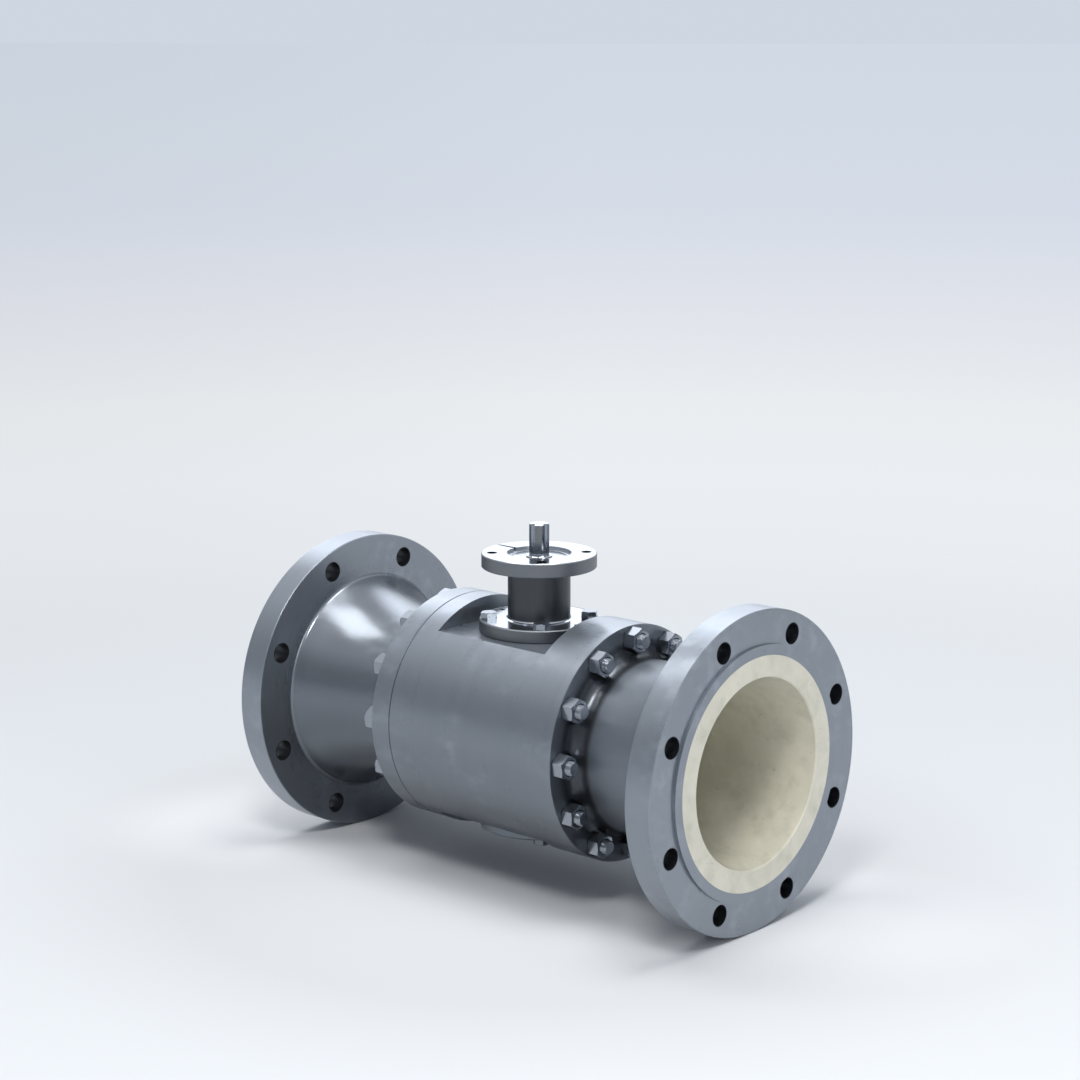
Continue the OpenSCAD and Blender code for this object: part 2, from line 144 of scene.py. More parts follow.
class Shader:
    """The node tree of one material or world."""

    NOISE_ROUGHNESS: ClassVar[float] = 0.55

    def __init__(self, owner: Union[bpy.types.Material, bpy.types.World]) -> None:
        """Takes over the node tree of a material or world and empties it."""
        owner.use_nodes = True
        self.owner = owner
        self.tree = owner.node_tree
        self.tree.nodes.clear()

    @classmethod
    def named(cls, name: str) -> "Shader":
        """Makes the shader of a new material."""
        return cls(bpy.data.materials.new(name))

    def link(self, source: object, target: bpy.types.NodeSocket) -> None:
        """Joins a value to a socket, or writes a plain number or colour into it."""
        if isinstance(source, Value):
            self.tree.links.new(source.socket, target)
        elif isinstance(source, (tuple, list)) and len(source) == 3 and target.type == "RGBA":
            target.default_value = (*source, 1.0)
        else:
            target.default_value = source

    def node(self, kind: str, settings: Optional[Dict[str, object]] = None,
             inputs: Optional[Dict[Union[str, int], object]] = None, output: Union[str, int] = 0) -> Value:
        """Adds any node.

        Args:
            kind: The node's type.
            settings: Properties that are set before the sockets; "stops" fills a colour ramp.
            inputs: Values or links of the sockets, by name or place.
            output: The output that is returned.

        Returns:
            The chosen output as a value.
        """
        made = self.tree.nodes.new(kind)
        for name, setting in (settings or {}).items():
            if name == "stops":
                self.fill_ramp(made, setting)
            else:
                setattr(made, name, setting)
        for name, source in (inputs or {}).items():
            self.link(source, made.inputs[name])
        return Value(self, made.outputs[output])

    def colours(self, place: Value, stops: Stops) -> Value:
        """Colour that a value has on a ramp."""
        return self.node("ShaderNodeValToRGB", {"stops": stops}, {"Fac": place})

    @staticmethod
    def fill_ramp(ramp: bpy.types.Node, stops: Stops) -> None:
        """Writes the stops of a colour ramp."""
        elements = ramp.color_ramp.elements
        while len(elements) < len(stops):
            elements.new(0.5)
        for element, (place, colour) in zip(elements, stops):
            element.position = place
            element.color = (*colour, 1.0)

    def math(self, operation: str, first: Number, second: Number = 0.0) -> Value:
        """One Math node."""
        return self.node("ShaderNodeMath", {"operation": operation}, {0: first, 1: second})

    def place(self) -> Value:
        """The Object coordinates, which are the row frame in metres."""
        return self.node("ShaderNodeTexCoord", None, None, "Object")

    def noise(self, vector: Value, scale: float, detail: float = 3.0, flat: bool = False) -> Value:
        """Noise from 0 to 1.

        Args:
            vector: Where the noise is read.
            scale: Features per metre.
            detail: Octaves.
            flat: True to use only the first two coordinates.

        Returns:
            The noise value.
        """
        kind = "2D" if flat else "3D"
        return self.node("ShaderNodeTexNoise", {"noise_dimensions": kind},
                         {"Vector": vector, "Scale": scale, "Detail": detail, "Roughness": self.NOISE_ROUGHNESS})

    def stretched(self, vector: Value, scale: Tuple[float, float, float]) -> Value:
        """The vector with its coordinates scaled apart."""
        return self.node("ShaderNodeMapping", None, {"Vector": vector, "Scale": scale})

    def turned(self, turning: Turning, height: float) -> Value:
        """Coordinates that are constant along the tool marks of a turned piece.

        Args:
            turning: The axis it was turned about.
            height: Height of the pipe axis.

        Returns:
            A vector of the place along the axis and the distance from it.
        """
        along, _, _, reach = self.station(turning, height)
        return self.node("ShaderNodeCombineXYZ", None, {0: along, 1: reach})

    def station(self, turning: Turning, height: float) -> Tuple[Value, Value, Value, Value]:
        """Place along a lathe axis, the two coordinates across it and the distance from it."""
        x, y, z = self.split(self.place())
        if turning is Turning.PIPE:
            along, first, second = x, y, z - height
        else:
            along, first, second = z, x, y
        return along, first, second, (first * first + second * second).root()

    def split(self, vector: Value) -> Tuple[Value, Value, Value]:
        """The three coordinates of a vector."""
        parts = self.tree.nodes.new("ShaderNodeSeparateXYZ")
        self.link(vector, parts.inputs[0])
        x, y, z = (Value(self, socket) for socket in parts.outputs)
        return x, y, z

    def dot(self, vector: Value, direction: Sequence[float]) -> Value:
        """Dot product of a vector with a fixed direction."""
        return self.node("ShaderNodeVectorMath", {"operation": "DOT_PRODUCT"},
                         {0: vector, 1: tuple(direction)}, "Value")

    def mix(self, first: object, second: object, factor: Number) -> Value:
        """Mixes two colours by a factor."""
        made = self.tree.nodes.new("ShaderNodeMix")
        made.data_type = "RGBA"
        self.link(factor, made.inputs["Factor"])
        self.link(first, made.inputs[6])
        self.link(second, made.inputs[7])
        return Value(self, made.outputs[2])

    def bump(self, height: Value, distance: float, under: Optional[Value] = None) -> Value:
        """Normal of a height field.

        Args:
            height: The height from 0 to 1.
            distance: What a height of 1 stands for, in metres.
            under: A normal that the new one is laid on.

        Returns:
            The bent normal.
        """
        inputs = {"Height": height, "Distance": distance, "Strength": 1.0}
        if under is not None:
            inputs["Normal"] = under
        return self.node("ShaderNodeBump", None, inputs)

    def seen(self) -> Value:
        """1 where the camera, a shiny face or glass sees the surface, and 0 for its light on the rest."""
        ray = self.tree.nodes.new("ShaderNodeLightPath").outputs
        kinds = ("Camera", "Glossy", "Transmission")
        camera, shiny, clear = (Value(self, ray[f"Is {kind} Ray"]) for kind in kinds)
        return self.math("MINIMUM", camera + shiny + clear, 1.0)

    def surface(self, inputs: Dict[str, object]) -> bpy.types.Material:
        """Closes the tree with a Principled surface.

        Args:
            inputs: Values, links and plain settings of the Principled node's sockets.

        Returns:
            The finished material.
        """
        self.finish(self.node("ShaderNodeBsdfPrincipled", None, inputs), "ShaderNodeOutputMaterial")
        return self.owner

    def finish(self, surface: Value, kind: str) -> None:
        """Adds the output node and joins the surface to it."""
        made = self.tree.nodes.new(kind)
        self.link(surface, made.inputs["Surface"])


@dataclass(frozen=True)
class Zone:
    """Part of a turned piece, by place along its axis and distance from it, whose colour takes painted shade and
    whose roughness is changed apart.
    """

    along: Tuple[float, float]
    reach: Tuple[float, float]
    shade: float
    roughening: float = 0.0
    both_ends: bool = False
    edge: float = 0.4 * MM

    def mask(self, along: Value, reach: Value) -> Value:
        """1 inside the zone and 0 outside it, with a narrow soft edge.

        Args:
            along: Place along the axis.
            reach: Distance from the axis.

        Returns:
            How much the zone's finish counts.
        """
        place = along.size() if self.both_ends else along
        low = place.ramp(self.along[0] - self.edge, self.along[0])
        high = place.ramp(self.along[1], self.along[1] + self.edge, 1.0, 0.0)
        inner = reach.ramp(self.reach[0] - self.edge, self.reach[0])
        outer = reach.ramp(self.reach[1], self.reach[1] + self.edge, 1.0, 0.0)
        return low * high * inner * outer


@dataclass(frozen=True)
class HoleRing:
    """Bores round a circle, whose walls take painted shade, darker than the faces."""

    count: int
    circle: float
    radius: float
    shade: float
    edge: float = 0.35 * MM

    def mask(self, shader: "Shader", turning: Turning, height: float) -> Value:
        """1 on the walls of the bores and 0 elsewhere.

        Args:
            shader: The shader that the nodes belong to.
            turning: The axis that the circle goes round.
            height: Height of the pipe axis.

        Returns:
            How much the darker shade counts.
        """
        _, first, second, reach = shader.station(turning, height)
        half = math.pi / self.count
        angle = shader.math("ARCTAN2", second, first) - half
        apart = shader.node("ShaderNodeMath", {"operation": "WRAP"}, {0: angle, 1: half, 2: -half})
        away = (reach * reach + self.circle ** 2 - 2.0 * self.circle * (reach * apart.cosine())).root()
        return away.ramp(self.radius + self.edge, self.radius + 2.0 * self.edge, 1.0, 0.0)


@dataclass(frozen=True)
class TurnedSteel:
    """Steel from the lathe with fine tool marks, handling marks and a soft sheen, and painted shade in its zones,
    its bore walls and low down.
    """

    name: str
    colour: Colour
    roughness: float
    turning: Turning
    height: float
    mark_width: float = 1.2 * MM
    mark_depth: float = 0.0012 * MM
    blotch: float = 0.14
    speckle: float = 0.0010 * MM
    metallic: float = 1.0
    smudge: float = 0.0
    underside_shade: float = 1.0
    under_until: Tuple[float, float] = (265.2 * MM, 266.0 * MM)
    zones: Tuple[Zone, ...] = ()
    holes: Tuple[HoleRing, ...] = ()

    BAND_SHARE: ClassVar[float] = 0.12
    CLOUDS_PER_M: ClassVar[float] = 13.0
    SMEARS_PER_M: ClassVar[Tuple[float, float, float]] = (38.0, 38.0, 9.0)
    GRAINS_PER_M: ClassVar[float] = 1400.0
    PATCHES_PER_M: ClassVar[float] = 12.0
    SPOTS_PER_M: ClassVar[Tuple[float, float, float]] = (34.0, 48.0, 48.0)
    DARK_SHARE: ClassVar[float] = 0.62
    BRIGHT_SHARE: ClassVar[float] = 1.38
    HANDLED_SHARE: ClassVar[float] = 1.7
    HANDLED_ROUGHENING: ClassVar[float] = 0.12
    BAND_SHADE: ClassVar[float] = 0.06
    SMEAR_ROUGHENING: ClassVar[float] = 0.08
    BAND_ROUGHENING: ClassVar[float] = 0.06
    GRAIN_ROUGHENING: ClassVar[float] = 0.05
    PATCH_RANGE: ClassVar[Tuple[float, float]] = (0.42, 0.66)
    SPOT_RANGE: ClassVar[Tuple[float, float]] = (0.44, 0.74)
    UNDERSIDE_SHADE_HEIGHTS: ClassVar[Tuple[float, float]] = (0.3, 1.75)

    def material(self) -> bpy.types.Material:
        """Builds the finish.

        Returns:
            The material.
        """
        shader = Shader.named(self.name)
        place = shader.place()
        turned = shader.turned(self.turning, self.height)
        marks = shader.noise(turned, 1.0 / self.mark_width, 2.0, flat=True)
        bands = shader.noise(turned, self.BAND_SHARE / self.mark_width, 2.0, flat=True)
        clouds = shader.noise(place, self.CLOUDS_PER_M, 4.0)
        smears = shader.noise(shader.stretched(place, self.SMEARS_PER_M), 1.0, 3.0)
        grain = shader.noise(place, self.GRAINS_PER_M, 2.0)
        shade = (1.0 + self.blotch * (clouds - 0.5) + 0.5 * self.blotch * (smears - 0.5)
                 + self.BAND_SHADE * (bands - 0.5))
        dark = tuple(self.DARK_SHARE * c for c in self.colour)
        bright = tuple(min(1.0, self.BRIGHT_SHARE * c) for c in self.colour)
        colour = shader.mix(dark, bright, shade - 0.5)
        rough = (self.roughness + self.SMEAR_ROUGHENING * (smears - 0.5) + self.BAND_ROUGHENING * (bands - 0.5)
                 + self.GRAIN_ROUGHENING * (grain - 0.5))
        if self.smudge:
            handled = self.smudge * self.handling(shader, place)
            colour = shader.mix(colour, tuple(self.HANDLED_SHARE * c for c in self.colour), handled)
            rough = rough + self.HANDLED_ROUGHENING * handled
        depth, rough = self.shading(shader, place, rough)
        # Painted shade from the zones and bore walls, and from the lower parts when there are zones or bores,
        # darkens the colour.
        if self.zones or self.holes:
            colour = shader.mix(BLACK, colour, depth)
        normal = shader.bump(grain, self.speckle, under=shader.bump(marks, self.mark_depth))
        return shader.surface({"Base Color": colour, "Roughness": rough, "Metallic": self.metallic,
                               "Normal": normal})

    def handling(self, shader: Shader, place: Value) -> Value:
        """Where the steel has been touched, from 0 to 1."""
        patches = shader.noise(place, self.PATCHES_PER_M, 2.0).ramp(*self.PATCH_RANGE)
        spots = shader.noise(shader.stretched(place, self.SPOTS_PER_M), 1.0, 2.5).ramp(*self.SPOT_RANGE)
        return patches * spots

    def shading(self, shader: Shader, place: Value, rough: Value) -> Tuple[Number, Value]:
        """Paints shade into the zones, the bore walls and the lower parts, and roughens the zones.

        Args:
            shader: The shader that the nodes belong to.
            place: The Object coordinates.
            rough: Roughness before the zones.

        Returns:
            The share of the colour that is left, and the roughness.
        """
        depth: Number = 1.0
        along, _, _, reach = shader.station(self.turning, self.height)
        for zone in self.zones:
            mask = zone.mask(along, reach)
            depth = (1.0 - (1.0 - zone.shade) * mask) * depth
            if zone.roughening:
                rough = rough + zone.roughening * mask
        for ring in self.holes:
            depth = (1.0 - (1.0 - ring.shade) * ring.mask(shader, self.turning, self.height)) * depth
        # Painted shade: darker towards the floor, fading out by 1.75 times the axis height, inside the flanges'
        # outer faces.
        if self.underside_shade < 1.0:
            bottom, top = (share * self.height for share in self.UNDERSIDE_SHADE_HEIGHTS)
            low = shader.split(place)[2].ramp(bottom, top, 1.0, 0.0)
            inside = along.size().ramp(*self.under_until, 1.0, 0.0)
            depth = (1.0 - (1.0 - self.underside_shade) * (low * inside)) * depth
        return depth, rough


@dataclass(frozen=True)
class GroundCeramic:
    """Cream ceramic with faint mottling, a few dark specks and painted shade: dark deep inside the valve, lighter
    towards the funnel mouths.
    """

    name: str
    colour: Colour
    roughness: float
    dark_share: Colour = (0.70, 0.71, 0.67)
    bright_share: float = 1.10
    speck_colour: Colour = (0.16, 0.13, 0.09)
    speck_cover: float = 0.7
    funnel: Tuple[float, float] = (160.0 * MM, 298.0 * MM)
    unevenness: float = 0.05 * MM
    coat_roughness: float = 0.13
    coat_index: float = 1.6
    specular: float = 0.5
    deep_shade: float = 0.06
    mouth_light_gain: float = 0.60
    cloud_gain: float = 1.1
    mottle_gain: float = 0.3
    stain_gain: float = 0.3

    CLOUDS_PER_M: ClassVar[float] = 20.0
    MOTTLES_PER_M: ClassVar[float] = 90.0
    STAINS_PER_M: ClassVar[float] = 46.0
    SPECKS_PER_M: ClassVar[float] = 420.0
    SPECKED_AREAS_PER_M: ClassVar[float] = 60.0
    STAIN_RANGE: ClassVar[Tuple[float, float]] = (0.46, 0.72)
    SPECK_RANGE: ClassVar[Tuple[float, float]] = (0.72, 0.77)
    SPECKED_RANGE: ClassVar[Tuple[float, float]] = (0.48, 0.56)
    MOTTLE_ROUGHENING: ClassVar[float] = 0.18
    CLOUD_ROUGHENING: ClassVar[float] = 0.10

    def material(self) -> bpy.types.Material:
        """Builds the finish.

        Returns:
            The material.
        """
        shader = Shader.named(self.name)
        place = shader.place()
        clouds = shader.noise(place, self.CLOUDS_PER_M, 5.0)
        mottle = shader.noise(place, self.MOTTLES_PER_M, 3.0)
        # Painted shade: within 160 mm of the middle the colour sits near its dark end (dark_share), and it
        # lightens towards the funnel mouths at 298 mm.
        mouth = shader.split(place)[0].size().ramp(*self.funnel)
        stains = shader.noise(place, self.STAINS_PER_M, 3.0).ramp(*self.STAIN_RANGE)
        specks = shader.noise(place, self.SPECKS_PER_M, 1.0).ramp(*self.SPECK_RANGE)
        specked = shader.noise(place, self.SPECKED_AREAS_PER_M, 1.0).ramp(*self.SPECKED_RANGE)
        shade = (self.deep_shade + self.mouth_light_gain * mouth + self.cloud_gain * (clouds - 0.5)
                 + self.mottle_gain * (mottle - 0.5) - self.stain_gain * stains)
        dark = tuple(share * c for share, c in zip(self.dark_share, self.colour))
        bright = tuple(min(1.0, self.bright_share * c) for c in self.colour)
        body = shader.mix(dark, bright, shade)
        colour = shader.mix(body, self.speck_colour, self.speck_cover * specks * specked)
        rough = self.roughness + self.MOTTLE_ROUGHENING * (mottle - 0.5) + self.CLOUD_ROUGHENING * (clouds - 0.5)
        return shader.surface({"Base Color": colour, "Roughness": rough,
                               "Normal": shader.bump(mottle, self.unevenness),
                               "Coat Roughness": self.coat_roughness, "Coat IOR": self.coat_index,
                               "Coat Weight": 1.0, "Specular IOR Level": self.specular})


@dataclass(frozen=True)
class SealRubber:
    """Black seal and packing material."""

    name: str
    clean: Colour = (0.018, 0.018, 0.020)
    dusty: Colour = (0.055, 0.055, 0.058)
    roughness: float = 0.55
    fibre_depth: float = 0.03 * MM
    fibres_per_m: Tuple[float, float, float] = (500.0, 500.0, 1500.0)
    dust_per_m: float = 60.0
    dust_roughening: float = 0.2

    def material(self) -> bpy.types.Material:
        """Builds the finish.

        Returns:
            The material.
        """
        shader = Shader.named(self.name)
        place = shader.place()
        fibre = shader.noise(shader.stretched(place, self.fibres_per_m), 1.0, 3.0)
        dust = shader.noise(place, self.dust_per_m, 3.0)
        colour = shader.mix(self.clean, self.dusty, dust)
        rough = self.roughness + self.dust_roughening * (dust - 0.5)
        return shader.surface({"Base Color": colour, "Roughness": rough,
                               "Normal": shader.bump(fibre, self.fibre_depth)})


class Network:
    """A geometry node tree with named inputs."""

    def __init__(self, name: str) -> None:
        """Makes the tree with its geometry input and output."""
        self.tree = bpy.data.node_groups.new(name, "GeometryNodeTree")
        self.tree.interface.new_socket("Geometry", in_out="INPUT", socket_type="NodeSocketGeometry")
        self.tree.interface.new_socket("Geometry", in_out="OUTPUT", socket_type="NodeSocketGeometry")
        self.start = self.tree.nodes.new("NodeGroupInput")
        self.end = self.tree.nodes.new("NodeGroupOutput")

    def input(self, name: str, kind: str) -> bpy.types.NodeSocket:
        """Adds a named input and returns its socket inside the tree."""
        self.tree.interface.new_socket(name, in_out="INPUT", socket_type=kind)
        return self.start.outputs[name]

    def node(self, kind: str, settings: Optional[Dict[str, object]] = None,
             inputs: Optional[Dict[Union[str, int], object]] = None) -> bpy.types.Node:
        """Adds any node.

        Args:
            kind: The node's type.
            settings: Properties that are set before the sockets.
            inputs: Sockets to link or plain values, by name or place.

        Returns:
            The node.
        """
        made = self.tree.nodes.new(kind)
        for name, setting in (settings or {}).items():
            setattr(made, name, setting)
        for name, source in (inputs or {}).items():
            if isinstance(source, bpy.types.NodeSocket):
                self.tree.links.new(source, made.inputs[name])
            else:
                made.inputs[name].default_value = source
        return made

    def calculate(self, operation: str, first: object, second: object) -> bpy.types.NodeSocket:
        """One Math node's result."""
        return self.node("ShaderNodeMath", {"operation": operation}, {0: first, 1: second}).outputs[0]

    def apply(self, piece: bpy.types.Object, values: Dict[str, object]) -> bpy.types.Object:
        """Runs the tree on an object and keeps the plain mesh that comes out.

        Args:
            piece: The object whose mesh goes in.
            values: Named inputs of the tree.

        Returns:
            The same object with its new mesh.
        """
        modifier = piece.modifiers.new(self.tree.name, "NODES")
        modifier.node_group = self.tree
        for item in self.tree.interface.items_tree:
            if item.item_type == "SOCKET" and item.in_out == "INPUT" and item.name in values:
                modifier[item.identifier] = values[item.name]
        bpy.context.view_layer.update()
        graph = bpy.context.evaluated_depsgraph_get()
        finished = bpy.data.meshes.new_from_object(piece.evaluated_get(graph))
        piece.modifiers.clear()
        piece.data = finished
        return piece


def ring_network() -> Network:
    """Tree that sets copies of a fastener round a circle.

    Returns:
        The network with inputs for the number, the circle and the turn of each copy.
    """
    net = Network("ring_of_fasteners")
    count = net.input("Copies", "NodeSocketInt")
    radius = net.input("Circle radius", "NodeSocketFloat")
    tilt = net.input("Circle turn", "NodeSocketVector")
    centre = net.input("Circle centre", "NodeSocketVector")
    axis = net.input("Copy axis", "NodeSocketVector")
    first = net.input("First angle", "NodeSocketFloat")
    odd = net.input("Odd angle", "NodeSocketFloat")
    spread = net.input("Spread", "NodeSocketFloat")
    finish = net.input("Finish", "NodeSocketMaterial")
    circle = net.node("GeometryNodeMeshCircle", {"fill_type": "NONE"}, {"Vertices": count, "Radius": radius})
    tilted = net.node("GeometryNodeTransform", None,
                      {"Geometry": circle.outputs[0], "Rotation": tilt, "Translation": centre})
    index = net.node("GeometryNodeInputIndex").outputs[0]
    step = net.calculate("DIVIDE", math.tau, count)
    base = net.calculate("ADD", net.calculate("MULTIPLY", index, step), first)
    flip = net.calculate("MULTIPLY", net.calculate("MODULO", index, 2.0), odd)
    leap = net.calculate("MULTIPLY", index, SCATTER_LEAP)
    scatter = net.calculate("SUBTRACT", net.calculate("MODULO", leap, SCATTER_STEPS), SCATTER_MIDDLE)
    angle = net.calculate("ADD", net.calculate("ADD", base, flip), net.calculate("MULTIPLY", scatter, spread))
    turn = net.node("FunctionNodeAxisAngleToRotation", None, {"Axis": axis, "Angle": angle})
    copies = net.node("GeometryNodeInstanceOnPoints", None,
                      {"Points": tilted.outputs[0], "Instance": net.start.outputs["Geometry"],
                       "Rotation": turn.outputs[0]})
    solid = net.node("GeometryNodeRealizeInstances", None, {"Geometry": copies.outputs[0]})
    dressed = net.node("GeometryNodeSetMaterial", None, {"Geometry": solid.outputs[0], "Material": finish})
    net.tree.links.new(dressed.outputs[0], net.end.inputs[0])
    return net


class Build:
    """Mesh helpers that the sub-assemblies share."""

    @staticmethod
    def skin(rings: Sequence[Ring], close_ends: bool, loop: bool = False) -> bpy.types.Mesh:
        """Joins rings of points into one closed skin.

        Args:
            rings: Rings with equal numbers of points.
            close_ends: True to cap the first and last ring.
            loop: True to join the last ring to the first.

        Returns:
            The mesh with its faces pointing out.
        """
        mesh = bpy.data.meshes.new("skin")
        form = bmesh.new()
        rows = [[form.verts.new(point) for point in ring] for ring in rings]
        pairs = list(zip(rows, rows[1:]))
        if loop:
            pairs.append((rows[-1], rows[0]))
        for low, high in pairs:
            for i in range(len(low)):
                j = (i + 1) % len(low)
                form.faces.new((low[i], low[j], high[j], high[i]))
        if close_ends:
            form.faces.new(rows[0])
            form.faces.new(rows[-1])
        bmesh.ops.recalc_face_normals(form, faces=form.faces)
        form.to_mesh(mesh)
        form.free()
        return mesh

    @staticmethod
    def piece(name: str, mesh: bpy.types.Mesh) -> bpy.types.Object:
        """Puts a mesh into the scene under a name."""
        mesh.name = name
        made = bpy.data.objects.new(name, mesh)
        bpy.context.scene.collection.objects.link(made)
        return made

    @staticmethod
    def soften(piece: bpy.types.Object, angle: float = 32.0) -> None:
        """Shades smooth below the angle and flat above it."""
        mesh = piece.data
        mesh.polygons.foreach_set("use_smooth", [True] * len(mesh.polygons))
        mesh.set_sharp_from_angle(angle=math.radians(angle))


@dataclass
class Fastener:
    """Hexagon and thread shapes, worked out in metres along the local Z axis."""

    segments: int = 72
    thread_sides: int = 36
    chamfer_slope: float = math.tan(math.radians(30.0))
    seat_share: float = 0.475
    countersink: float = 0.9 * MM
    thread_depth: float = 0.6
    rings_per_turn: float = 6.0
    last_ring_gap: float = 0.02 * MM

    def hex_radius(self, angle: float, flats: float) -> float:
        """Distance from the centre to the hexagon's side at an angle."""
        turn = angle % (math.pi / 3.0)
        return 0.5 * flats / math.cos(turn - math.pi / 6.0)

    def ring(self, radius: Callable[[float], float], height: Callable[[float], float]) -> Ring:
        """One ring of points whose radius and height depend on the angle."""
        points = []
        for i in range(self.segments):
            angle = math.tau * i / self.segments
            r = radius(angle)
            points.append((r * math.cos(angle), r * math.sin(angle), height(angle)))
        return points

    def hex_rings(self, flats: float, low: float, high: float) -> List[Ring]:
        """Rings of a hexagon that is chamfered at both ends, from the low face to the high one."""
        seat = self.seat_share * flats

        def side(angle: float) -> float:
            """Radius of the hexagon."""
            return self.hex_radius(angle, flats)

        def drop(angle: float) -> float:
            """How far the chamfer has come down at the hexagon's side."""
            return (side(angle) - seat) * self.chamfer_slope

        return [self.ring(lambda a: seat, lambda a: low),
                self.ring(side, lambda a: low + drop(a)),
                self.ring(side, lambda a: high - drop(a)),
                self.ring(lambda a: seat, lambda a: high)]

    def nut(self, flats: float, low: float, high: float, bore: float) -> bpy.types.Mesh:
        """A hexagon nut with a countersunk bore."""
        sink = self.countersink
        rings = self.hex_rings(flats, low, high)
        top = [self.ring(lambda a: bore + sink, lambda a: high), self.ring(lambda a: bore, lambda a: high - sink)]
        under = [self.ring(lambda a: bore, lambda a: low + sink), self.ring(lambda a: bore + sink, lambda a: low)]
        return Build.skin(rings + top + under, close_ends=False, loop=True)

    def rod_rings(self, radius: float, low: float, high: float, pitch: float, threaded: Tuple[float, float],
                  chamfer: float) -> List[Ring]:
        """Rings of a rod with a helical thread over part of its length.

        Args:
            radius: Outside radius.
            low: Start of the rod.
            high: End of the rod.
            pitch: Thread pitch.
            threaded: Where the thread starts and ends.
            chamfer: Chamfer at both ends.

        Returns:
            The rings from low to high.
        """
        depth = self.thread_depth * pitch
        stations = [low, low + chamfer]
        z = threaded[0]
        while z < high - self.last_ring_gap:
            stations.append(z)
            z += pitch / self.rings_per_turn
        stations.append(high)
        stations = sorted(set(round(s, 7) for s in stations if low <= s <= high))
        rings = []
        for station in stations:
            cone = min(radius, radius - chamfer + (station - low), radius - chamfer + (high - station))
            run_in = min(1.0, max(0.0, (station - threaded[0]) / pitch))
            points = []
            for i in range(self.thread_sides):
                angle = math.tau * i / self.thread_sides
                phase = ((station - threaded[0]) / pitch - i / self.thread_sides) % 1.0
                cut = depth * run_in * (1.0 - abs(2.0 * phase - 1.0)) if station >= threaded[0] else 0.0
                r = min(cone, radius - cut)
                points.append((r * math.cos(angle), r * math.sin(angle), station))
            rings.append(points)
        return rings

    def rod(self, radius: float, low: float, high: float, pitch: float, threaded: Tuple[float, float],
            chamfer: float) -> bpy.types.Mesh:
        """A threaded rod as one closed mesh."""
        return Build.skin(self.rod_rings(radius, low, high, pitch, threaded, chamfer), close_ends=True)


